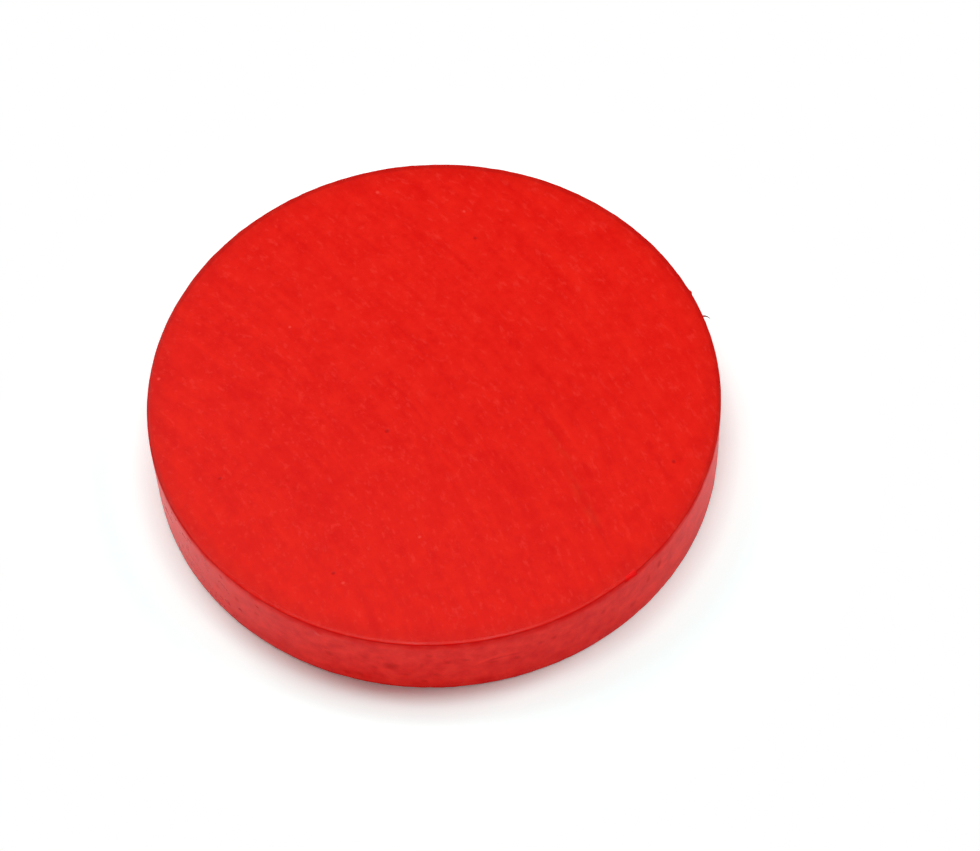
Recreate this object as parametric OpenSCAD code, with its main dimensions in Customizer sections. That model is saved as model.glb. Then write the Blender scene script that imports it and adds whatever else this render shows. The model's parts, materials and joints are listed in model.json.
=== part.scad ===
// Wooden game disc: one blank of solid wood under three films of red lacquer.
// Millimetres, +Z up. The origin is the centre of the underside, on the surface that the
// disc lies on, and +X runs along the grain of the wood.
//
// The wall is lacquered first, with the discs stacked on a spindle. Each face is lacquered
// after that, lying flat, and its film runs out over the eased rim and butts against the
// wall's film where the rim turns into the wall.

/* [Wooden blank] */
// Diameter of the bare blank
blank_d = 100; // [60:1:140]
// Thickness of the bare blank
blank_t = 15; // [8:0.5:25]
// Radius that eases the two rims of the bare blank
rim_r = 0.3; // [0.2:0.1:2]

/* [Lacquer] */
// Film on each face and round its rim
face_film = 0.12; // [0.06:0.02:0.3]
// Film on the wall between the two rims
wall_film = 0.12; // [0.06:0.02:0.3]

/* [Hidden] */
$fn = 180;

wood_colour = "#D9B78C";
lacquer_colour = "#E3211A";

blank_r = blank_d / 2;
// Radius of each face's flat stretch, inside its rim
flat_r = blank_r - rim_r;
// Height of the straight wall between the two rims
wall_h = blank_t - 2 * rim_r;
// Levels where the rims turn into the wall, which are also where the films meet
lower_seam_z = face_film + rim_r;
upper_seam_z = lower_seam_z + wall_h;

// Half section of the bare blank: a rectangle whose two outer corners are rounded
module blank_section() {
    translate([0, face_film]) square([flat_r, blank_t]);
    translate([0, lower_seam_z]) square([blank_r, wall_h]);
    for (rim_z = [lower_seam_z, upper_seam_z])
        translate([flat_r, rim_z]) circle(r = rim_r);
}

// Half section of a face's film, face up, with the seam at the wall on z = 0
module face_film_section() {
    // The flat stretch over the face
    translate([0, rim_r]) square([flat_r, face_film]);
    // The quarter ring that the film makes round the rim
    translate([flat_r, 0])
        intersection() {
            difference() {
                circle(r = rim_r + face_film);
                circle(r = rim_r);
            }
            square(rim_r + face_film);
        }
}

module wood_blank() {
    color(wood_colour) rotate_extrude() blank_section();
}

module wall_coat() {
    color(lacquer_colour)
        rotate_extrude() translate([blank_r, lower_seam_z]) square([wall_film, wall_h]);
}

module top_coat() {
    color(lacquer_colour)
        translate([0, 0, upper_seam_z]) rotate_extrude() face_film_section();
}

module base_coat() {
    color(lacquer_colour)
        translate([0, 0, lower_seam_z])
            mirror([0, 0, 1]) rotate_extrude() face_film_section();
}

wood_blank();
wall_coat();
top_coat();
base_coat();
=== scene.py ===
import json
import math

import bmesh
import bpy
from bpy.props import FloatProperty, FloatVectorProperty, IntProperty, PointerProperty
from mathutils import Matrix, Vector

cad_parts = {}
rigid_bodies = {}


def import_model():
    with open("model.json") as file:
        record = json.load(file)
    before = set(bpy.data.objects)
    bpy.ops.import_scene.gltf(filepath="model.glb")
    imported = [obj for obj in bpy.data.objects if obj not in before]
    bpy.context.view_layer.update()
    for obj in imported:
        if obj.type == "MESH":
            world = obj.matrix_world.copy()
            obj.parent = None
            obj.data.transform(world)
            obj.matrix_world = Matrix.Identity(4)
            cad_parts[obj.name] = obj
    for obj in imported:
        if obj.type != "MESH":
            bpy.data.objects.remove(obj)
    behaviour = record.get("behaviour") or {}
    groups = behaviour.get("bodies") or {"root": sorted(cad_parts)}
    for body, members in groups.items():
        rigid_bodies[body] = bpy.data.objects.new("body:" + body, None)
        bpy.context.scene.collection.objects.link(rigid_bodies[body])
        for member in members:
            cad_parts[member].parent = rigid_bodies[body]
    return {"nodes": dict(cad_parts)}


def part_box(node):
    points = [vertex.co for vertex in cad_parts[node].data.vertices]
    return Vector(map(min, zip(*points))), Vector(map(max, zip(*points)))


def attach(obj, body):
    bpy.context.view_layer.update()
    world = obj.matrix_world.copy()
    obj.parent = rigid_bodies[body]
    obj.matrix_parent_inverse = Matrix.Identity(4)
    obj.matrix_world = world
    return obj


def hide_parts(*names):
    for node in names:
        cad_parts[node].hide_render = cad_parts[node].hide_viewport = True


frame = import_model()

bl_info = {
    "name": "Wooden Game Disc",
    "version": (1, 0, 0),
    "blender": (4, 5, 0),
    "location": "View3D > Sidebar > Game Disc",
    "description": "Models a lacquered wooden game disc and the stage that it lies on",
    "category": "Object",
}

MM = 0.001

# The sizes that the solids give, in metres
DISC_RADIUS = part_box("wall_coat")[1][0]
DISC_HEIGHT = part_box("top_coat")[1][2]
FILM = DISC_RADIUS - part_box("wood_blank")[1][0]
RIM = DISC_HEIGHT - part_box("wall_coat")[1][2]

# Radius of the curve that the grain follows
SWEEP = 170 * MM
# The pith's place across the grain and in height, and the width of a growth ring
PITH_ACROSS = -10.9 * MM
PITH_HEIGHT = 0.0
RING_WIDTH = 2.7 * MM
# Radius of the one growth ring that shows through on the wall
ARCH_RADIUS = 8.9 * MM
# Heights between which that ring fades in
ARCH_FADE = (6.4 * MM, 7.6 * MM)
# The ring's lines: distance outside its radius, and strength
ARCH_LINES = ((0.0, -0.6), (0.6 * MM, 0.4))

# Streaks on the top face: middle along and across the grain, half length, half width (mm), strength
TOP_STREAKS = (
    (-2.0, -4.6, 9.0, 0.55, -1.0),
    (-19.0, -4.5, 9.0, 0.45, -0.5),
    (12.0, -5.6, 7.0, 0.60, 0.8),
    (15.0, 13.3, 11.0, 0.70, -0.9),
    (17.5, 15.1, 5.5, 0.75, 1.0),
    (26.4, 14.6, 2.2, 0.60, -1.4),
    (35.0, 11.5, 12.0, 0.65, -1.1),
    (38.0, 15.6, 7.0, 0.60, 0.8),
    (-30.0, -8.1, 10.0, 0.55, -0.8),
    (-31.0, 11.8, 5.5, 0.50, -1.0),
    (-17.0, 21.0, 7.0, 0.60, -0.8),
    (15.0, -21.5, 9.0, 0.60, -0.7),
    (33.0, -26.6, 9.0, 0.70, -0.8),
    (-38.0, 3.3, 8.0, 0.50, -0.6),
    (3.0, -20.2, 6.0, 0.55, 0.6),
    (-25.0, -18.6, 9.0, 0.60, 0.6),
)
# How far a streak of strength 1 shifts the tone
STREAK_TONE = 0.42
# Brownish streaks on the top face: middle along and across the grain, half length, half width (mm)
BROWN_STREAKS = ((31.5, 11.4, 11.5, 1.7), (20.0, 12.6, 5.0, 1.3))
# Dark specks and pale nibs on the top face: place along and across the grain, half size (mm)
DARK_SPECKS = (
    (2.0, -11.0, 0.62), (25.0, -32.7, 0.55), (-9.0, -39.5, 0.50), (-20.0, 26.2, 0.45),
    (30.8, 28.7, 0.50))
PALE_NIBS = (
    (-37.6, 21.0, 0.50), (25.3, -16.7, 0.45), (28.0, -32.0, 0.50), (-38.5, -34.0, 0.50),
    (-28.2, -10.6, 0.40), (-25.0, 28.8, 0.40))

# Pits in the wall: azimuth in degrees, height, half length round, half height and depth in millimetres
WALL_PITS = (
    (-42.9, 7.2, 1.30, 0.95, 0.060),
    (-55.3, 7.1, 0.80, 0.60, 0.050),
    (-46.2, 6.1, 0.60, 0.40, 0.030),
    (-48.0, 9.1, 0.60, 0.40, 0.030),
    (-40.0, 4.7, 0.70, 0.45, 0.035),
    (-34.1, 4.9, 0.55, 0.50, 0.030),
    (-36.9, 8.3, 0.45, 0.70, 0.035),
    (-35.4, 11.6, 0.60, 0.50, 0.040),
    (-32.0, 9.2, 0.65, 0.40, 0.035),
    (-28.2, 9.3, 0.60, 0.40, 0.035),
    (-23.3, 7.4, 0.90, 0.35, 0.035),
    (-18.4, 6.9, 0.60, 0.45, 0.035),
    (-13.6, 9.5, 0.60, 0.40, 0.030),
    (-10.8, 9.5, 0.50, 0.45, 0.035),
    (-49.6, 2.8, 0.70, 0.40, 0.035),
    (-52.0, 2.3, 0.70, 0.40, 0.035),
    (-36.7, 2.8, 0.50, 0.40, 0.030),
    (-71.5, 9.0, 0.60, 0.55, 0.035),
    (-76.6, 9.2, 0.60, 0.60, 0.040),
    (-82.4, 7.8, 0.60, 0.60, 0.030),
    (0.3, 9.8, 0.50, 0.50, 0.030),
    (8.0, 4.6, 0.70, 0.45, 0.030),
    (12.0, 9.0, 0.50, 0.90, 0.035),
    (15.2, 10.2, 0.60, 0.80, 0.040),
)
# Flaws of the top rim: azimuth in degrees, reach, push outwards and push upwards in millimetres
RIM_FLAWS = (
    (79.7, 0.7, 0.24, -0.005),
    (82.6, 1.4, -0.02, -0.01),
    (-30.2, 0.9, -0.02, -0.01),
    (-25.5, 0.8, -0.02, -0.01),
    (-38.0, 0.8, 0.05, 0.0),
    (-57.5, 1.2, -0.02, -0.01),
    (-72.0, 1.0, -0.02, -0.01),
    (136.0, 1.8, -0.02, -0.01),
    (24.0, 1.0, -0.02, -0.01),
)
# The middle of the stretch where shade is painted on the face's edge, in degrees, and the brightness it
# keeps
REAR_SHADE_AZIMUTH = 147.0
REAR_SHADE_LEVEL = 0.79
# The bead of lacquer on the top rim: azimuth in degrees, place in from the wall and below the face
BEAD_AZIMUTH = 7.2
BEAD_INSET = 0.36 * MM
BEAD_DROP = 0.56 * MM
# Half sizes of the bead outwards, along the rim and upwards, in millimetres
BEAD_HALF_SIZES = (0.60, 1.45, 0.52)
# Pushes that shape the bead: place along it in degrees, then outwards, down and along the rim (mm)
BEAD_PUSHES = ((1.0, 0.10, 0.12, 0.20), (-1.1, 0.04, 0.05, -0.35))
BEAD_PUSH_REACH = 0.9 * MM
# The raised drip under the rim on the front wall
DRIP_AZIMUTH = -57.0
DRIP_HEIGHT = 13.2 * MM
DRIP_REACH = 0.9 * MM
DRIP_LIFT = 0.16 * MM
# The splinter that stands out from the rear rim: azimuth and turn at each step, in degrees
SPLINTER_AZIMUTH = 73.3
SPLINTER_TURN = 6.5
# Radius of the splinter's root, length of a step in millimetres, count of steps and taper at each
SPLINTER_RADIUS = 0.19 * MM
SPLINTER_STEP = 0.19
SPLINTER_STEPS = 8
SPLINTER_TAPER = 0.89

# Scales and depths of the soft wavers in the films
RIM_WAVER_SCALES = (5.0 * MM, 1.6 * MM)
RIM_WAVER_DEPTH = 0.10 * MM
WALL_WAVER_SCALE = 6.0 * MM
WALL_WAVER_DEPTH = 0.04 * MM

# Radii between which the floor turns from one that keeps the shadow into plain white
SHADOW_RADIUS = 58.0 * MM
WHITE_RADIUS = 80.0 * MM
WHITE = (1.0, 1.0, 1.0, 1.0)


class DiscSizes(bpy.types.PropertyGroup):
    """Sizes of the finished disc, as the solids give them."""

    radius: FloatProperty(
        name="Radius", description="Outer radius over the lacquer", default=DISC_RADIUS, unit="LENGTH")
    height: FloatProperty(
        name="Height", description="Height over both faces' lacquer", default=DISC_HEIGHT,
        unit="LENGTH")
    rim: FloatProperty(
        name="Rim", description="Height of the eased rims over the lacquer", default=RIM, unit="LENGTH")
    roll_width: FloatProperty(
        name="Roll-off", description="Width of the slow roll-off inside each rim", default=0.5 * MM,
        unit="LENGTH")
    roll_lean: FloatProperty(
        name="Lean", description="Lean of the face where the roll-off ends", default=math.radians(17.0),
        subtype="ANGLE")
    ease_height: FloatProperty(
        name="Ease height", description="Height over which the wall draws in towards each rim",
        default=1.2 * MM, unit="LENGTH")
    ease_depth: FloatProperty(
        name="Ease depth", description="How far the wall draws in at each rim", default=0.055 * MM,
        unit="LENGTH")
    film: FloatProperty(
        name="Film", description="Thickness of the lacquer", default=FILM, unit="LENGTH")
    face_points: IntProperty(
        name="Face points", description="Points round the even sheet inside each face", default=320,
        min=32)
    rim_points: IntProperty(
        name="Rim points", description="Points round the rims and the wall", default=1280, min=64)
    roll_steps: IntProperty(
        name="Roll-off steps", description="Steps over the slow roll-off", default=4, min=2)
    rim_steps: IntProperty(
        name="Rim steps", description="Steps over the tight turn of the rim", default=9, min=3)
    wall_rows: IntProperty(
        name="Wall rows", description="Rows of faces up the wall", default=36, min=4)


class DiscLooks(bpy.types.PropertyGroup):
    """Colours and finishes of the disc."""

    deep_red: FloatVectorProperty(
        name="Deep red", description="Lacquer where the film is thick", subtype="COLOR", size=3,
        default=(0.690, 0.0030, 0.0006), min=0, max=1)
    clear_red: FloatVectorProperty(
        name="Clear red", description="Lacquer where the film is thin", subtype="COLOR", size=3,
        default=(0.785, 0.0100, 0.0026), min=0, max=1)
    wall_deep_red: FloatVectorProperty(
        name="Wall deep red", description="Wall's lacquer where the film is thick", subtype="COLOR",
        size=3, default=(0.790, 0.0008, 0.0004), min=0, max=1)
    wall_clear_red: FloatVectorProperty(
        name="Wall clear red", description="Wall's lacquer where the film is thin", subtype="COLOR",
        size=3, default=(0.975, 0.0270, 0.0170), min=0, max=1)
    pale_red: FloatVectorProperty(
        name="Pale red", description="Nibs of dust under the film", subtype="COLOR", size=3,
        default=(0.840, 0.0400, 0.0280), min=0, max=1)
    bead_red: FloatVectorProperty(
        name="Bead red", description="The thick bead of lacquer on the rim", subtype="COLOR", size=3,
        default=(0.840, 0.0020, 0.0020), min=0, max=1)
    splinter_red: FloatVectorProperty(
        name="Splinter red", description="The stained splinter at the rear rim", subtype="COLOR",
        size=3, default=(0.100, 0.0060, 0.0060), min=0, max=1)
    # Painted shade: the deeper red where a face's film turns down into the wall
    seam_shade_red: FloatVectorProperty(
        name="Seam red", description="Lacquer where a face's film turns down into the wall",
        subtype="COLOR", size=3, default=(0.700, 0.0005, 0.0004), min=0, max=1)
    brown_red: FloatVectorProperty(
        name="Brown red", description="Brownish streak of the grain", subtype="COLOR", size=3,
        default=(0.620, 0.0220, 0.0060), min=0, max=1)
    pit_red: FloatVectorProperty(
        name="Pit red", description="Lacquer down in pores and pits", subtype="COLOR", size=3,
        default=(0.520, 0.0030, 0.0020), min=0, max=1)
    roughness: FloatProperty(
        name="Roughness", description="Roughness of the satin lacquer on the faces", subtype="FACTOR",
        default=0.34, min=0, max=1)
    side_roughness: FloatProperty(
        name="Side grain roughness", description="Roughness of the wall's lacquer over side grain",
        subtype="FACTOR", default=0.28, min=0, max=1)
    end_roughness: FloatProperty(
        name="End grain roughness", description="Roughness of the wall's lacquer over end grain",
        subtype="FACTOR", default=0.42, min=0, max=1)
    early_wood: FloatVectorProperty(
        name="Early wood", description="Pale wood of spring growth", subtype="COLOR", size=3,
        default=(0.700, 0.485, 0.275), min=0, max=1)
    late_wood: FloatVectorProperty(
        name="Late wood", description="Darker wood of summer growth", subtype="COLOR", size=3,
        default=(0.500, 0.300, 0.150), min=0, max=1)


class StageLooks(bpy.types.PropertyGroup):
    """The camera's place, the lamps and the floor."""

    lens: FloatProperty(
        name="Lens", description="Focal length on a 36 mm sensor, in millimetres", default=113.71)
    camera_place: FloatVectorProperty(
        name="Camera", description="Place of the camera", subtype="TRANSLATION", unit="LENGTH", size=3,
        default=(0.25358, -0.15322, 0.46663))
    camera_yaw: FloatProperty(
        name="Yaw", description="Turn of the view about the upright", subtype="ANGLE",
        default=math.radians(57.0))
    camera_pitch: FloatProperty(
        name="Pitch", description="How far the view looks down", subtype="ANGLE",
        default=math.radians(57.387))
    camera_roll: FloatProperty(
        name="Roll", description="Lean of the camera to its right", subtype="ANGLE",
        default=math.radians(-2.333))
    dome: FloatProperty(
        name="Dome", description="Strength of the even light from all round", default=0.02)
    overhead: FloatProperty(
        name="Overhead lamp", description="Power of the soft lamp overhead", subtype="POWER",
        default=3.6)
    left: FloatProperty(
        name="Left lamp", description="Power of the soft lamp at the rear left", subtype="POWER",
        default=4.0)
    back: FloatProperty(
        name="Back strip", description="Power of the narrow lamp behind the overhead one",
        subtype="POWER", default=0.6)
    right: FloatProperty(
        name="Right lamp", description="Power of the soft lamp on the right", subtype="POWER",
        default=3.6)
    fill: FloatProperty(
        name="Front fill", description="Power of the soft fill in front", subtype="POWER", default=2.8)
    floor_white: FloatVectorProperty(
        name="Floor white", description="How white the floor shows to the eye", subtype="COLOR", size=3,
        default=(1.07, 1.27, 1.255), min=0, soft_max=2)


def start_clean():
    """Leaves object mode with nothing selected."""
    if bpy.context.mode != "OBJECT":
        bpy.ops.object.mode_set(mode="OBJECT")
    bpy.ops.object.select_all(action="DESELECT")


def rim_place(azimuth, reach, height):
    """A point at an azimuth in degrees, a reach from the axis and a height."""
    turn = math.radians(azimuth)
    return Vector((reach * math.cos(turn), reach * math.sin(turn), height))


def pick(piece, test):
    """Selects the points of a piece, in edit mode, whose place passes a test."""
    mesh = bmesh.from_edit_mesh(piece.data)
    for point in mesh.verts:
        point.select_set(not point.hide and bool(test(point.co)))
    mesh.select_flush_mode()
    bmesh.update_edit_mesh(piece.data)


def pick_open_edge():
    """Selects the open edge of a sheet in edit mode."""
    bpy.ops.mesh.select_non_manifold(
        extend=False, use_wire=False, use_boundary=True, use_multi_face=False, use_non_contiguous=False,
        use_verts=False)


def hold_still(piece, test):
    """Hides the points of a piece, in edit mode, that a press must leave alone."""
    pick(piece, test)
    bpy.ops.mesh.hide(unselected=False)


def pick_inner_skin(piece):
    """Selects the inner skin of a thickened piece in edit mode."""
    piece.vertex_groups.active_index = piece.vertex_groups["inner"].index
    bpy.ops.mesh.select_all(action="DESELECT")
    bpy.ops.object.vertex_group_select()


def press(piece, spot, reach, shift):
    """Pushes the skin at a spot, in edit mode, by a shift that fades out softly within its reach."""
    bpy.ops.mesh.select_all(action="DESELECT")
    mesh = bmesh.from_edit_mesh(piece.data)
    shown = (point for point in mesh.verts if not point.hide)
    nearest = min(shown, key=lambda point: (point.co - spot).length_squared)
    nearest.select_set(True)
    bmesh.update_edit_mesh(piece.data)
    bpy.ops.transform.translate(
        value=shift, use_proportional_edit=True, proportional_edit_falloff="SMOOTH",
        proportional_size=reach)


def begin_group(name, piece):
    """Starts a group of points on a piece."""
    bpy.ops.object.vertex_group_add()
    piece.vertex_groups.active.name = name


def weigh(weight):
    """Gives the selected points a weight in the piece's active group."""
    bpy.context.scene.tool_settings.vertex_group_weight = weight
    bpy.ops.object.vertex_group_assign()


def waver(piece, group, scale, depth, middle):
    """Moves the points of a group in and out by soft noise of a given scale, depth and middle level."""
    clouds = bpy.data.textures.new(piece.name + "_waver", type="CLOUDS")
    clouds.noise_scale = scale
    clouds.noise_depth = 1
    bpy.ops.object.modifier_add(type="DISPLACE")
    shift = piece.modifiers[-1]
    shift.texture = clouds
    shift.texture_coords = "LOCAL"
    shift.vertex_group = group
    shift.strength = depth
    shift.mid_level = middle
    bpy.ops.object.modifier_apply(modifier=shift.name)
    bpy.data.textures.remove(clouds)


def thicken(piece, film):
    """Gives an outer skin the film's thickness inwards, with the inner skin in a group of its own."""
    begin_group("inner", piece)
    bpy.ops.object.modifier_add(type="SOLIDIFY")
    solid = piece.modifiers[-1]
    solid.thickness = film
    solid.offset = -1.0
    solid.use_even_offset = True
    solid.shell_vertex_group = "inner"
    bpy.ops.object.modifier_apply(modifier=solid.name)


def finish_piece(piece, node, material):
    """Smooths a finished piece and ties it to the solid that it stands for."""
    bpy.ops.object.shade_smooth_by_angle(angle=math.radians(35))
    piece.vertex_groups.clear()
    piece.data.materials.clear()
    piece.data.materials.append(material)
    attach(piece, "root")
    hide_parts(node)


class Graph:
    """The nodes of a material or of the world, with short calls for the kinds that they use."""

    def __init__(self, owner):
        owner.use_nodes = True
        self.owner = owner
        self.tree = owner.node_tree
        self.tree.nodes.clear()

    def add(self, kind, sockets=None, **settings):
        """Adds a node. A socket gets another node's output, or a value of its own."""
        made = self.tree.nodes.new(kind)
        for name, value in settings.items():
            setattr(made, name, value)
        for name, value in (sockets or {}).items():
            if isinstance(value, bpy.types.NodeSocket):
                self.tree.links.new(value, made.inputs[name])
            else:
                made.inputs[name].default_value = value
        return made

    def math(self, operation, first, second=0.0, third=0.0, clamp=False):
        """One step of arithmetic on numbers."""
        sockets = {0: first, 1: second, 2: third}
        return self.add("ShaderNodeMath", sockets, operation=operation, use_clamp=clamp).outputs[0]

    def vector(self, operation, first, second=(0.0, 0.0, 0.0), third=(0.0, 0.0, 0.0)):
        """One step of arithmetic on vectors, as a node, because some steps give a number."""
        sockets = {0: first, 1: second, 2: third}
        return self.add("ShaderNodeVectorMath", sockets, operation=operation)

    def combine(self, x, y, z=0.0):
        """A vector from its parts."""
        return self.add("ShaderNodeCombineXYZ", {0: x, 1: y, 2: z}).outputs[0]

    def length(self, first, second):
        """Length of a flat vector from its two parts."""
        squares = self.math("MULTIPLY_ADD", first, first, self.math("MULTIPLY", second, second))
        return self.math("SQRT", squares)

    def noise(self, place, scale, detail=2.0, roughness=0.5):
        """Soft noise at a place."""
        sockets = {"Vector": place, "Scale": scale, "Detail": detail, "Roughness": roughness}
        return self.add("ShaderNodeTexNoise", sockets).outputs["Fac"]

    def remap(self, value, low, high, to_low=0.0, to_high=1.0):
        """Moves a value softly from one range to another, and holds it at the ends."""
        sockets = {
            "Value": value, "From Min": low, "From Max": high, "To Min": to_low, "To Max": to_high}
        made = self.add("ShaderNodeMapRange", sockets, interpolation_type="SMOOTHSTEP")
        return made.outputs["Result"]

    def sway(self, value, amount, start):
        """Adds to a running sum how far a noise lies from its middle, times an amount."""
        return self.math("MULTIPLY_ADD", self.math("SUBTRACT", value, 0.5), amount, start)

    def mark(self, flat, middle, half):
        """A soft oval on a flat map in metres: 1 in its middle, 0 at its edge. Its sizes are in mm."""
        scale = (1.0 / (half[0] * MM), 1.0 / (half[1] * MM), 0.0)
        shift = (-middle[0] / half[0], -middle[1] / half[1], 0.0)
        near = self.vector("MULTIPLY_ADD", flat, scale, shift).outputs["Vector"]
        return self.remap(self.vector("LENGTH", near).outputs["Value"], 0.2, 1.0, 1.0, 0.0)

    def blend(self, factor, first, second, blend_type="MIX"):
        """A mix of two colours."""
        sockets = {"Factor": factor, 6: first, 7: second}
        made = self.add("ShaderNodeMix", sockets, data_type="RGBA", blend_type=blend_type)
        return made.outputs[2]

    def bump(self, height, strength, distance):
        """A fine relief from a height."""
        sockets = {"Height": height, "Strength": strength, "Distance": distance}
        return self.add("ShaderNodeBump", sockets).outputs[0]

    def finish(self, shader, kind="ShaderNodeOutputMaterial"):
        """Ends the nodes with a shader and gives back their owner."""
        self.add(kind, {"Surface": shader.outputs[0]})
        return self.owner


def grain_places(graph):
    """Object place, its parts, and the place along and across the curved grain."""
    place = graph.add("ShaderNodeTexCoord").outputs["Object"]
    x, y, z = graph.add("ShaderNodeSeparateXYZ", {0: place}).outputs
    reach = graph.math("ADD", y, SWEEP)
    across = graph.math("SUBTRACT", graph.length(x, reach), SWEEP)
    along = graph.math("MULTIPLY", graph.math("ARCTAN2", x, reach), SWEEP)
    return place, (x, y, z), (along, across)


def grain_noise(graph, grain, z, stretch, scale, detail=2.0, roughness=0.5):
    """Noise drawn out along the grain: the lower the stretch, the longer its streaks."""
    along, across = grain
    place = graph.combine(graph.math("MULTIPLY", along, stretch), across, z)
    return graph.noise(place, scale, detail, roughness)


def ring_distance(graph, place, grain, z, scale, detail, spread):
    """Distance from the pith of the tree, made uneven by noise."""
    side = graph.math("SUBTRACT", grain[1], PITH_ACROSS)
    up = graph.math("SUBTRACT", z, PITH_HEIGHT)
    uneven = graph.noise(place, scale, detail)
    return graph.math("MULTIPLY_ADD", uneven, spread, graph.length(side, up))


def rim_shade(graph, place, z, start, end):
    """Grows unevenly from 0 to 1 between two depths below the top face."""
    depth = graph.math("SUBTRACT", DISC_HEIGHT, z)
    uneven = graph.remap(graph.noise(place, 330.0, 2.0), 0.35, 0.65, 0.5, 1.0)
    return graph.math("MULTIPLY", graph.remap(depth, start, end), uneven)


def satin(graph, red, relief, sheen):
    """The lacquer's shader: a low satin gloss over the red, with a fine relief."""
    shader = graph.add("ShaderNodeBsdfPrincipled", {
        "Base Color": red, "Roughness": sheen, "IOR": 1.45, "Specular IOR Level": 0.10,
        "Normal": relief})
    return graph.finish(shader)


def lacquer(name, make, looks):
    """A lacquer by its name, made when it is first asked for."""
    return bpy.data.materials.get(name) or make(looks)


def make_face_lacquer(looks):
    """Red satin lacquer of the two faces: curved streaks, a fine mottle, specks, a darker edge and
    painted shade round the rim.
    """
    graph = Graph(bpy.data.materials.new("face_lacquer"))
    place, (x, y, z), grain = grain_places(graph)
    along, across = grain
    streaks = grain_noise(graph, grain, z, 0.06, 420.0, 1.5)
    fibres = grain_noise(graph, grain, z, 0.22, 1000.0)
    mottle = graph.noise(place, 420.0, 4.0, 0.72)
    patches = graph.noise(place, 150.0)
    tone = 0.5
    for pattern, strength in ((streaks, 1.0), (fibres, 0.6), (mottle, 1.9), (patches, 0.7)):
        tone = graph.sway(pattern, strength, tone)
    # The listed streaks and specks lie on the top face alone
    top = graph.math("GREATER_THAN", z, DISC_HEIGHT / 2.0)
    flat = graph.combine(along, graph.sway(graph.noise(place, 260.0), 1.6 * MM, across))
    grain_marks = 0.0
    for middle, side, half_long, half_wide, strength in TOP_STREAKS:
        oval = graph.mark(flat, (middle, side), (half_long, half_wide))
        grain_marks = graph.math("MULTIPLY_ADD", oval, strength * STREAK_TONE, grain_marks)
    tone = graph.math("MULTIPLY_ADD", grain_marks, top, tone, clamp=True)
    red = graph.blend(tone, (*looks.deep_red, 1.0), (*looks.clear_red, 1.0))
    for middle, side, half_long, half_wide in BROWN_STREAKS:
        oval = graph.math("MULTIPLY", graph.mark(flat, (middle, side), (half_long, half_wide)), top)
        broken = graph.math("MULTIPLY", oval, graph.remap(mottle, 0.4, 0.6, 0.08, 0.4))
        red = graph.blend(broken, red, (*looks.brown_red, 1.0))
    flecks = grain_noise(graph, grain, z, 0.6, 1150.0, 2.0, 0.55)
    flecks = graph.math("MULTIPLY", graph.remap(flecks, 0.54, 0.76), 0.35)
    red = graph.blend(flecks, red, (*looks.pale_red, 1.0))
    radius = graph.length(x, y)
    red = graph.blend(1.0, red, graph.remap(radius, 45.5 * MM, 49.4 * MM, 1.0, 0.91), "MULTIPLY")
    spots = graph.combine(along, across)
    height = graph.math("MULTIPLY_ADD", fibres, 0.7, graph.math("MULTIPLY", mottle, 0.7))
    for specks, colour, lift in ((DARK_SPECKS, looks.pit_red, -0.8), (PALE_NIBS, looks.pale_red, 0.8)):
        cover = 0.0
        for middle, side, half in specks:
            cover = graph.math("ADD", graph.mark(spots, (middle, side), (half, half)), cover)
        cover = graph.math("MULTIPLY", cover, top)
        red = graph.blend(cover, red, (*colour, 1.0))
        height = graph.math("MULTIPLY_ADD", cover, lift, height)
    # Painted shade: a deeper red where the film turns down over the rim, and a darker band along the
    # rear rim
    shade = graph.math("MULTIPLY", rim_shade(graph, place, z, 0.05 * MM, 0.11 * MM), top)
    far = graph.vector("DOT_PRODUCT", place, rim_place(REAR_SHADE_AZIMUTH, 1.0, 0.0)).outputs["Value"]
    rear = graph.remap(far, -38.0 * MM, -12.0 * MM)
    # Painted shade along the rim's turn, weaker towards the rear
    seam_shade = graph.math("MULTIPLY", shade, graph.math("SUBTRACT", 0.95, rear, clamp=True))
    red = graph.blend(seam_shade, red, (*looks.seam_shade_red, 1.0))
    # Painted shade darkens the face's edge along the rear rim
    wider = graph.math("ADD", radius, graph.remap(far, 0.0, 40.0 * MM, 0.0, 0.4 * MM))
    stain_and_shade = graph.math("MULTIPLY", rear, graph.remap(wider, 49.15 * MM, 49.7 * MM))
    rear_shaded = graph.blend(1.0, red, (REAR_SHADE_LEVEL, REAR_SHADE_LEVEL, REAR_SHADE_LEVEL, 1.0), "MULTIPLY")
    red = graph.blend(stain_and_shade, red, rear_shaded)
    # The bead and the splinter have reds of their own
    bead = rim_place(BEAD_AZIMUTH, DISC_RADIUS, DISC_HEIGHT - RIM)
    away = graph.vector("DISTANCE", place, bead).outputs["Value"]
    near = graph.remap(away, 0.9 * MM, 1.5 * MM, 1.0, 0.0)
    low = graph.math("LESS_THAN", z, DISC_HEIGHT - 0.012 * MM)
    red = graph.blend(graph.math("MULTIPLY", near, low), red, (*looks.bead_red, 1.0))
    beyond = graph.remap(radius, DISC_RADIUS + 0.08 * MM, DISC_RADIUS + 0.22 * MM)
    beyond = graph.math("MULTIPLY", beyond, graph.math("GREATER_THAN", y, 0.8 * DISC_RADIUS))
    red = graph.blend(beyond, red, (*looks.splinter_red, 1.0))
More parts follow.
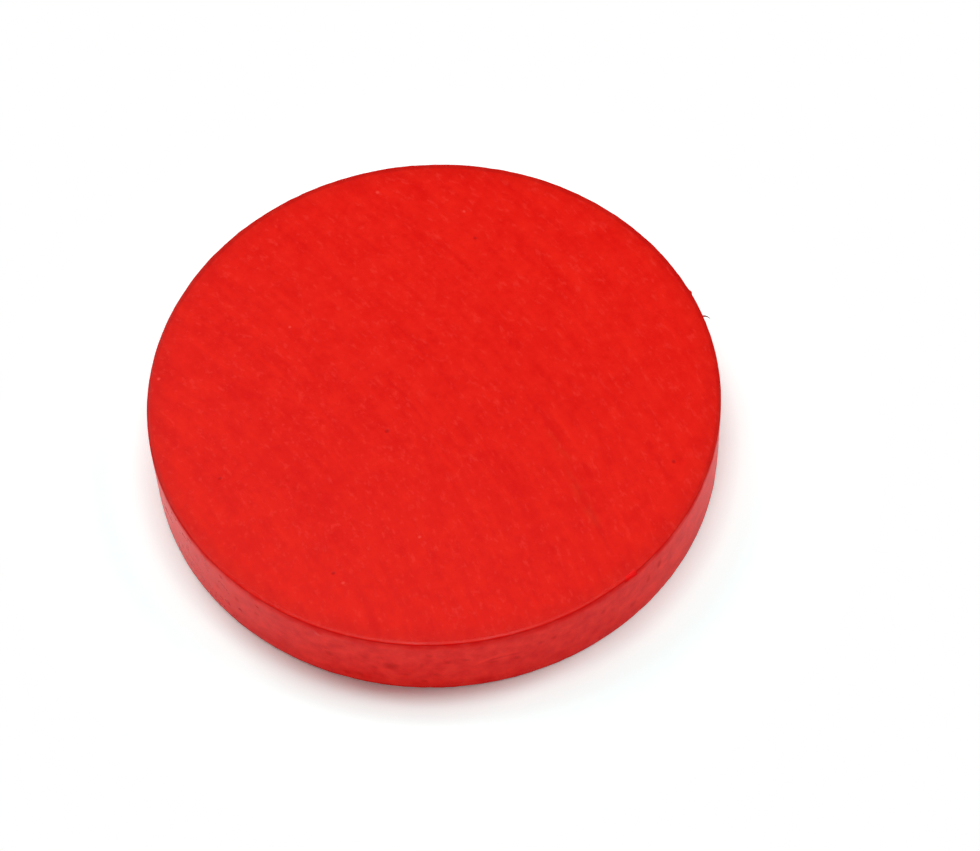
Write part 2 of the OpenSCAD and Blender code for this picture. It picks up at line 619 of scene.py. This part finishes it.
    # The film is glossier along the near edge, where it is fat, and duller where it turns down
    sheen = graph.remap(mottle, 0.3, 0.7, looks.roughness - 0.04, looks.roughness + 0.05)
    near_side = graph.remap(far, -36.0 * MM, -26.0 * MM, 0.14, 0.0)
    near_side = graph.math("MULTIPLY", near_side, graph.remap(patches, 0.38, 0.62, 0.1, 1.0))
    fat_edge = graph.math("MULTIPLY", graph.remap(radius, 48.9 * MM, 49.4 * MM), near_side)
    sheen = graph.math("SUBTRACT", sheen, fat_edge)
    sheen = graph.math("MULTIPLY_ADD", shade, 0.35, sheen)
    return satin(graph, red, graph.bump(height, 0.4, 0.06 * MM), sheen)


def make_wall_lacquer(looks):
    """Red satin lacquer of the wall: fine dashes, pits, one growth ring shown as an arch, and painted
    shade at the top.
    """
    graph = Graph(bpy.data.materials.new("wall_lacquer"))
    place, (x, y, z), grain = grain_places(graph)
    arc = graph.math("MULTIPLY", graph.math("ARCTAN2", y, x), DISC_RADIUS)
    dashes = grain_noise(graph, grain, z, 0.3, 700.0)
    mottle = graph.noise(place, 400.0, 3.0, 0.6)
    patches = graph.noise(place, 150.0)
    tone = 0.5
    for pattern, strength in ((dashes, 0.35), (mottle, 2.5), (patches, 0.8)):
        tone = graph.sway(pattern, strength, tone)
    ring = ring_distance(graph, place, grain, z, 120.0, 3.0, 0.8 * MM)
    crest = graph.math("MULTIPLY", graph.remap(z, *ARCH_FADE), graph.remap(patches, 0.35, 0.6))
    for offset, strength in ARCH_LINES:
        gap = graph.math("ABSOLUTE", graph.math("SUBTRACT", ring, ARCH_RADIUS + offset))
        line = graph.math("MULTIPLY", graph.remap(gap, 0.1 * MM, 0.5 * MM, 1.0, 0.0), crest)
        tone = graph.math("MULTIPLY_ADD", line, strength, tone)
    tone = graph.math("ADD", tone, 0.0, clamp=True)
    red = graph.blend(tone, (*looks.wall_deep_red, 1.0), (*looks.wall_clear_red, 1.0))
    # Painted shade: the wall turns a deeper red towards the top rim, and that band is also duller
    edge = rim_shade(graph, place, z, RIM + 1.6 * MM, RIM)
    warp = graph.sway(graph.noise(place, 700.0), 1.2 * MM, 0.0)
    flat = graph.combine(graph.math("ADD", arc, warp), graph.math("SUBTRACT", z, warp))
    deepest = max(pit[-1] for pit in WALL_PITS)
    pits = 0.0
    for azimuth, height, half_long, half_high, depth in WALL_PITS:
        middle = (math.radians(azimuth) * DISC_RADIUS / MM, height)
        stain_and_shade = graph.mark(flat, middle, (1.5 * half_long, 1.8 * half_high))
        pits = graph.math("MULTIPLY_ADD", stain_and_shade, depth / deepest, pits)
    red = graph.blend(graph.math("MULTIPLY", pits, 0.55, clamp=True), red, (*looks.pit_red, 1.0))
    red = graph.blend(graph.math("MULTIPLY", edge, 0.95), red, (*looks.wall_deep_red, 1.0))
    end_grain = graph.math("DIVIDE", graph.math("MULTIPLY", x, x), DISC_RADIUS ** 2)
    duller = looks.end_roughness - looks.side_roughness
    sheen = graph.math("MULTIPLY_ADD", end_grain, duller, looks.side_roughness)
    sheen = graph.sway(mottle, 0.1, sheen)
    sheen = graph.math("MULTIPLY_ADD", pits, 0.2, sheen)
    sheen = graph.math("MULTIPLY_ADD", edge, 0.35, sheen)
    return satin(graph, red, graph.bump(mottle, 0.03, 0.06 * MM), sheen)


def make_wood(looks):
    """Bare close-grained hardwood with growth rings round the pith and fine fibres along the grain."""
    graph = Graph(bpy.data.materials.new("bare_wood"))
    place, parts, grain = grain_places(graph)
    z = parts[2]
    ring = ring_distance(graph, place, grain, z, 60.0, 2.0, 1.2 * MM)
    late = graph.remap(graph.math("FRACT", graph.math("DIVIDE", ring, RING_WIDTH)), 0.45, 0.97)
    fibres = grain_noise(graph, grain, z, 0.05, 2200.0, 3.0)
    tone = graph.math("MULTIPLY_ADD", late, 0.6, graph.math("MULTIPLY", fibres, 0.4), clamp=True)
    colour = graph.blend(tone, (*looks.early_wood, 1.0), (*looks.late_wood, 1.0))
    relief = graph.bump(fibres, 0.4, 0.08 * MM)
    shader = graph.add("ShaderNodeBsdfPrincipled", {
        "Base Color": colour, "Roughness": 0.62, "Normal": relief})
    return graph.finish(shader)


def rim_section(sizes):
    """Radius where the face starts to roll off, then radius, drop and lean of each step to the wall."""
    first = sizes.roll_lean
    last = math.pi / 2.0 - math.atan(2.0 * sizes.ease_depth / sizes.ease_height)
    slow = sizes.roll_width / math.sin(first)
    tight = (sizes.rim - slow * (1.0 - math.cos(first))) / (math.cos(first) - math.cos(last))
    seam = sizes.radius - sizes.ease_depth
    start = seam - tight * (math.sin(last) - math.sin(first)) - sizes.roll_width
    steps = []
    for step in range(1, sizes.roll_steps + 1):
        lean = first * step / sizes.roll_steps
        steps.append((start + slow * math.sin(lean), slow * (1.0 - math.cos(lean)), lean))
    for step in range(1, sizes.rim_steps + 1):
        lean = first + (last - first) * step / sizes.rim_steps
        reach = seam - tight * (math.sin(last) - math.sin(lean))
        steps.append((reach, sizes.rim - tight * (math.cos(lean) - math.cos(last)), lean))
    return start, steps


def lay_face_film(name, sizes):
    """A round film, face up on z = 0, turned down over the rim. A group holds the rim's outer skin."""
    start_clean()
    flat, steps = rim_section(sizes)
    band = 2.0 * MM
    bpy.ops.mesh.primitive_circle_add(
        vertices=sizes.face_points, radius=flat - band, fill_type="NOTHING")
    film = bpy.context.object
    film.name = name
    film.data.name = name
    bpy.ops.object.mode_set(mode="EDIT")
    bpy.ops.mesh.select_all(action="SELECT")
    bpy.ops.mesh.fill_grid(span=sizes.face_points // 4)
    pick_open_edge()
    bpy.ops.mesh.select_all(action="INVERT")
    bpy.ops.mesh.vertices_smooth(factor=0.5, repeat=40)
    pick_open_edge()
    bpy.ops.mesh.extrude_edges_move()
    widen = flat / (flat - band)
    bpy.ops.transform.resize(value=(widen, widen, 1.0), center_override=(0.0, 0.0, 0.0))
    bpy.ops.mesh.subdivide(number_cuts=sizes.rim_points // sizes.face_points - 1)
    pick_open_edge()
    bpy.ops.transform.tosphere(value=1.0)
    begin_group("rim", film)
    reach = max(point.co.xy.length for point in bmesh.from_edit_mesh(film.data).verts)
    drop = 0.0
    for new_reach, new_drop, lean in steps:
        bpy.ops.mesh.extrude_edges_move(TRANSFORM_OT_translate={"value": (0.0, 0.0, drop - new_drop)})
        widen = new_reach / reach
        bpy.ops.transform.resize(value=(widen, widen, 1.0), center_override=(0.0, 0.0, -new_drop))
        weigh(math.sin(2.0 * lean) ** 2)
        reach = new_reach
        drop = new_drop
    bpy.ops.mesh.select_all(action="SELECT")
    bpy.ops.mesh.normals_make_consistent(inside=False)
    if sum(face.normal.z for face in bmesh.from_edit_mesh(film.data).faces) < 0.0:
        bpy.ops.mesh.flip_normals()
    bpy.ops.object.mode_set(mode="OBJECT")
    thicken(film, sizes.film)
    bpy.ops.object.mode_set(mode="EDIT")
    pick_inner_skin(film)
    film.vertex_groups.active_index = film.vertex_groups["rim"].index
    bpy.ops.object.vertex_group_remove_from()
    bpy.ops.object.mode_set(mode="OBJECT")
    for scale in RIM_WAVER_SCALES:
        waver(film, "rim", scale, RIM_WAVER_DEPTH, 0.2)
    return film


def hang_bead(film, sizes):
    """Adds the bead of lacquer that ran over the rim, in edit mode, and pushes it into its shape."""
    middle = rim_place(BEAD_AZIMUTH, sizes.radius - BEAD_INSET, sizes.height - BEAD_DROP)
    turn = math.radians(BEAD_AZIMUTH)
    bpy.ops.mesh.select_all(action="DESELECT")
    bpy.ops.mesh.primitive_uv_sphere_add(
        segments=32, ring_count=16, radius=1.0 * MM, location=middle, rotation=(0.0, 0.0, turn),
        scale=BEAD_HALF_SIZES)
    bpy.ops.mesh.hide(unselected=True)
    for azimuth, outwards, lower, along in BEAD_PUSHES:
        spot = rim_place(BEAD_AZIMUTH + azimuth, sizes.radius + 0.1 * MM, sizes.height - 0.6 * MM)
        shift = rim_place(BEAD_AZIMUTH, outwards * MM, -lower * MM)
        shift += rim_place(BEAD_AZIMUTH + 90.0, along * MM, 0.0)
        press(film, spot, BEAD_PUSH_REACH, shift)
    bpy.ops.mesh.reveal(select=False)


def grow_splinter(sizes):
    """Draws a fine bent splinter out of the rim, in edit mode, from a small ring of points."""
    root = rim_place(SPLINTER_AZIMUTH, sizes.radius - 0.25 * MM, sizes.height - 0.30 * MM)
    heading = math.radians(SPLINTER_AZIMUTH)
    bpy.ops.mesh.select_all(action="DESELECT")
    bpy.ops.mesh.primitive_circle_add(
        vertices=8, radius=SPLINTER_RADIUS, fill_type="NGON", location=root,
        rotation=(math.pi / 2.0, 0.0, heading + math.pi / 2.0))
    place = root.copy()
    taper = (SPLINTER_TAPER, SPLINTER_TAPER, SPLINTER_TAPER)
    for step in range(SPLINTER_STEPS):
        heading -= math.radians(SPLINTER_TURN)
        go = Vector((math.cos(heading), math.sin(heading), -0.06 * step)) * SPLINTER_STEP * MM
        place += go
        bpy.ops.mesh.extrude_region_move(TRANSFORM_OT_translate={"value": go})
        bpy.ops.transform.resize(value=taper, center_override=place)
    bpy.ops.mesh.select_linked()
    bpy.ops.mesh.normals_make_consistent(inside=False)


def draw_in_ends(film, sizes):
    """Draws the wall's skin in towards each rim, in edit mode, row by row."""
    row = (sizes.height - 2.0 * sizes.rim) / sizes.wall_rows
    for step in range(int(sizes.ease_height / row) + 1):
        share = 1.0 - step * row / sizes.ease_height
        narrow = 1.0 - sizes.ease_depth * share ** 2 / sizes.radius
        low = sizes.rim + step * row
        for level in (low, sizes.height - low):
            pick(film, lambda point: abs(point.z - level) < row / 4.0)
            bpy.ops.transform.resize(value=(narrow, narrow, 1.0), center_override=(0.0, 0.0, level))


class DISC_OT_wood(bpy.types.Operator):
    """Gives the solid blank its bare wood"""

    bl_idname = "disc.wood"
    bl_label = "Wooden Blank"

    def execute(self, context):
        blank = frame["nodes"]["wood_blank"]
        blank.data.materials.clear()
        blank.data.materials.append(make_wood(context.scene.disc_looks))
        return {"FINISHED"}


class DISC_OT_top_coat(bpy.types.Operator):
    """Lays the lacquer of the top face and its rim"""

    bl_idname = "disc.top_coat"
    bl_label = "Top Coat"

    def execute(self, context):
        sizes = context.scene.disc_sizes
        film = lay_face_film("top_lacquer", sizes)
        bpy.ops.object.mode_set(mode="EDIT")
        bpy.ops.mesh.select_all(action="SELECT")
        bpy.ops.transform.translate(value=(0.0, 0.0, sizes.height))
        pick_inner_skin(film)
        bpy.ops.mesh.hide(unselected=False)
        flat = rim_section(sizes)[0]
        seam = sizes.height - sizes.rim
        hold_still(film, lambda point: point.xy.length < flat + 0.01 * MM or point.z < seam + 0.01 * MM)
        slope = sizes.rim * (1.0 - math.sqrt(0.5))
        for azimuth, reach, outwards, upwards in RIM_FLAWS:
            spot = rim_place(azimuth, sizes.radius - slope, sizes.height - slope)
            press(film, spot, reach * MM, rim_place(azimuth, outwards * MM, upwards * MM))
        bpy.ops.mesh.reveal(select=False)
        grow_splinter(sizes)
        hang_bead(film, sizes)
        bpy.ops.object.mode_set(mode="OBJECT")
        paint = lacquer("face_lacquer", make_face_lacquer, context.scene.disc_looks)
        finish_piece(film, "top_coat", paint)
        return {"FINISHED"}


class DISC_OT_base_coat(bpy.types.Operator):
    """Lays the lacquer of the underside and its rim"""

    bl_idname = "disc.base_coat"
    bl_label = "Base Coat"

    def execute(self, context):
        sizes = context.scene.disc_sizes
        film = lay_face_film("base_lacquer", sizes)
        bpy.ops.object.mode_set(mode="EDIT")
        bpy.ops.mesh.select_all(action="SELECT")
        bpy.ops.transform.rotate(value=math.pi, orient_axis="X", center_override=(0.0, 0.0, 0.0))
        bpy.ops.object.mode_set(mode="OBJECT")
        paint = lacquer("face_lacquer", make_face_lacquer, context.scene.disc_looks)
        finish_piece(film, "base_coat", paint)
        return {"FINISHED"}


class DISC_OT_wall_coat(bpy.types.Operator):
    """Lays the lacquer of the wall between the two rims"""

    bl_idname = "disc.wall_coat"
    bl_label = "Wall Coat"

    def execute(self, context):
        sizes = context.scene.disc_sizes
        start_clean()
        wall = sizes.height - 2.0 * sizes.rim
        bpy.ops.mesh.primitive_cylinder_add(
            vertices=sizes.rim_points, radius=sizes.radius, depth=wall, end_fill_type="NOTHING",
            location=(0.0, 0.0, sizes.height / 2.0))
        film = bpy.context.object
        film.name = "wall_lacquer"
        film.data.name = "wall_lacquer"
        bpy.ops.object.transform_apply(location=True, rotation=False, scale=False)
        bpy.ops.object.mode_set(mode="EDIT")
        mesh = bmesh.from_edit_mesh(film.data)
        for edge in mesh.edges:
            edge.select_set(abs(edge.verts[0].co.z - edge.verts[1].co.z) > wall / 2.0)
        bmesh.update_edit_mesh(film.data)
        bpy.ops.mesh.subdivide(number_cuts=sizes.wall_rows - 1)
        bpy.ops.mesh.select_all(action="SELECT")
        bpy.ops.mesh.normals_make_consistent(inside=False)
        bpy.ops.object.mode_set(mode="OBJECT")
        thicken(film, sizes.film)
        bpy.ops.object.mode_set(mode="EDIT")
        pick_inner_skin(film)
        bpy.ops.mesh.hide(unselected=False)
        draw_in_ends(film, sizes)
        low = sizes.rim + wall / sizes.wall_rows * 0.5
        hold_still(film, lambda point: not low < point.z < sizes.height - low)
        begin_group("wall", film)
        pick(film, lambda point: True)
        weigh(1.0)
        bpy.ops.object.mode_set(mode="OBJECT")
        waver(film, "wall", WALL_WAVER_SCALE, WALL_WAVER_DEPTH, 1.0)
        bpy.ops.object.mode_set(mode="EDIT")
        for azimuth, height, half_long, half_high, depth in WALL_PITS:
            spot = rim_place(azimuth, sizes.radius, height * MM)
            press(film, spot, max(half_long, half_high) * MM, rim_place(azimuth, -depth * MM, 0.0))
        drip = rim_place(DRIP_AZIMUTH, sizes.radius, DRIP_HEIGHT)
        press(film, drip, DRIP_REACH, rim_place(DRIP_AZIMUTH, DRIP_LIFT, 0.0))
        bpy.ops.mesh.reveal(select=False)
        bpy.ops.object.mode_set(mode="OBJECT")
        paint = lacquer("wall_lacquer", make_wall_lacquer, context.scene.disc_looks)
        finish_piece(film, "wall_coat", paint)
        return {"FINISHED"}


class DISC_OT_stage(bpy.types.Operator):
    """Sets the floor, the lamps, the light all round and the camera"""

    bl_idname = "disc.stage"
    bl_label = "Stage"

    def execute(self, context):
        stage = context.scene.stage_looks
        start_clean()
        bpy.ops.mesh.primitive_plane_add(size=4.0)
        floor = bpy.context.object
        floor.name = "floor"
        bpy.ops.object.mode_set(mode="EDIT")
        bpy.ops.mesh.subdivide(number_cuts=3)
        bpy.ops.object.mode_set(mode="OBJECT")
        floor.data.materials.append(self.floor_paint(stage))
        self.light_all_round(context, stage)
        self.hang_lamp(stage, "overhead_lamp", 5.0, 84.0, (0.5, 0.21), stage.overhead)
        self.hang_lamp(stage, "back_strip", 0.0, 68.0, (0.5, 0.12), stage.back)
        self.hang_lamp(stage, "left_lamp", -48.0, 47.0, (0.55, 0.55), stage.left)
        self.hang_lamp(stage, "right_lamp", 75.0, 44.0, (0.5, 0.5), stage.right)
        fill = self.hang_lamp(stage, "front_fill", 194.0, 22.0, (0.5, 0.5), stage.fill)
        fill.visible_glossy = False
        turn = Matrix.Rotation(stage.camera_yaw, 4, "Z")
        view = turn @ Matrix.Rotation(math.pi / 2.0 - stage.camera_pitch, 4, "X")
        view = view @ Matrix.Rotation(stage.camera_roll, 4, "Z")
        start_clean()
        bpy.ops.object.camera_add(location=stage.camera_place, rotation=view.to_euler())
        camera = bpy.context.object
        camera.data.sensor_width = 36.0
        camera.data.lens = stage.lens
        camera.data.clip_start = 0.01
        context.scene.camera = camera
        context.scene.view_settings.view_transform = "Standard"
        return {"FINISHED"}

    def hang_lamp(self, stage, name, bearing, elevation, size, power):
        """A soft lamp a metre off, turned to the disc, with its bearing clockwise from the view's."""
        bearing = stage.camera_yaw - math.radians(bearing)
        elevation = math.radians(elevation)
        level = math.cos(elevation)
        place = Vector((-level * math.sin(bearing), level * math.cos(bearing), math.sin(elevation)))
        aim = (-place).to_track_quat("-Z", "Y").to_euler()
        start_clean()
        bpy.ops.object.light_add(type="AREA", location=place, rotation=aim)
        lamp = bpy.context.object
        lamp.name = name
        lamp.data.shape = "RECTANGLE"
        lamp.data.size = size[0]
        lamp.data.size_y = size[1]
        lamp.data.energy = power
        lamp.visible_camera = False
        return lamp

    def floor_paint(self, stage):
        """Pale matt floor that keeps the disc's shadow and shows plain white beyond it."""
        graph = Graph(bpy.data.materials.new("pale_floor"))
        rays = graph.add("ShaderNodeLightPath").outputs
        eye = rays["Is Camera Ray"]
        mirrored = graph.math("MAXIMUM", rays["Is Glossy Ray"], rays["Is Transmission Ray"])
        colour = graph.blend(mirrored, (0.90, 0.90, 0.90, 1.0), WHITE)
        colour = graph.blend(eye, colour, (*stage.floor_white, 1.0))
        paint = graph.add("ShaderNodeBsdfDiffuse", {"Color": colour})
        white = graph.add("ShaderNodeEmission", {"Color": WHITE, "Strength": 1.0})
        place = graph.add("ShaderNodeTexCoord").outputs["Object"]
        radius = graph.vector("LENGTH", place).outputs["Value"]
        beyond = graph.remap(radius, SHADOW_RADIUS, WHITE_RADIUS)
        away = graph.math("MULTIPLY", beyond, graph.math("MAXIMUM", eye, mirrored))
        mixed = graph.add("ShaderNodeMixShader", {0: away, 1: paint.outputs[0], 2: white.outputs[0]})
        return graph.finish(mixed)

    def light_all_round(self, context, stage):
        """An even dome of light that shows white to the eye and in gloss."""
        graph = Graph(bpy.data.worlds.new("dome"))
        rays = graph.add("ShaderNodeLightPath").outputs
        seen = graph.math("MAXIMUM", rays["Is Camera Ray"], rays["Is Glossy Ray"])
        strength = graph.math("MULTIPLY_ADD", seen, 1.0 - stage.dome, stage.dome)
        light = graph.add("ShaderNodeBackground", {"Color": WHITE, "Strength": strength})
        context.scene.world = graph.finish(light, "ShaderNodeOutputWorld")


class DISC_PT_panel(bpy.types.Panel):
    """Lists the disc's pieces, its stage and their settings"""

    bl_label = "Game Disc"
    bl_idname = "DISC_PT_panel"
    bl_space_type = "VIEW_3D"
    bl_region_type = "UI"
    bl_category = "Game Disc"

    def draw(self, context):
        column = self.layout.column()
        for operator in OPERATORS:
            column.operator(operator.bl_idname)
        for group in (context.scene.disc_sizes, context.scene.disc_looks, context.scene.stage_looks):
            for name in group.__annotations__:
                column.prop(group, name)


OPERATORS = (DISC_OT_wood, DISC_OT_top_coat, DISC_OT_wall_coat, DISC_OT_base_coat, DISC_OT_stage)
CLASSES = (DiscSizes, DiscLooks, StageLooks, *OPERATORS, DISC_PT_panel)


def register():
    """Adds the classes and the settings to Blender."""
    for cls in CLASSES:
        bpy.utils.register_class(cls)
    bpy.types.Scene.disc_sizes = PointerProperty(type=DiscSizes)
    bpy.types.Scene.disc_looks = PointerProperty(type=DiscLooks)
    bpy.types.Scene.stage_looks = PointerProperty(type=StageLooks)


def unregister():
    """Takes the settings and the classes out of Blender again."""
    del bpy.types.Scene.stage_looks
    del bpy.types.Scene.disc_looks
    del bpy.types.Scene.disc_sizes
    for cls in reversed(CLASSES):
        bpy.utils.unregister_class(cls)


def main():
    """Makes the whole scene."""
    register()
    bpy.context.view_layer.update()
    bpy.ops.disc.wood()
    bpy.ops.disc.top_coat()
    bpy.ops.disc.wall_coat()
    bpy.ops.disc.base_coat()
    bpy.ops.disc.stage()
    start_clean()


if __name__ == "__main__":
    main()
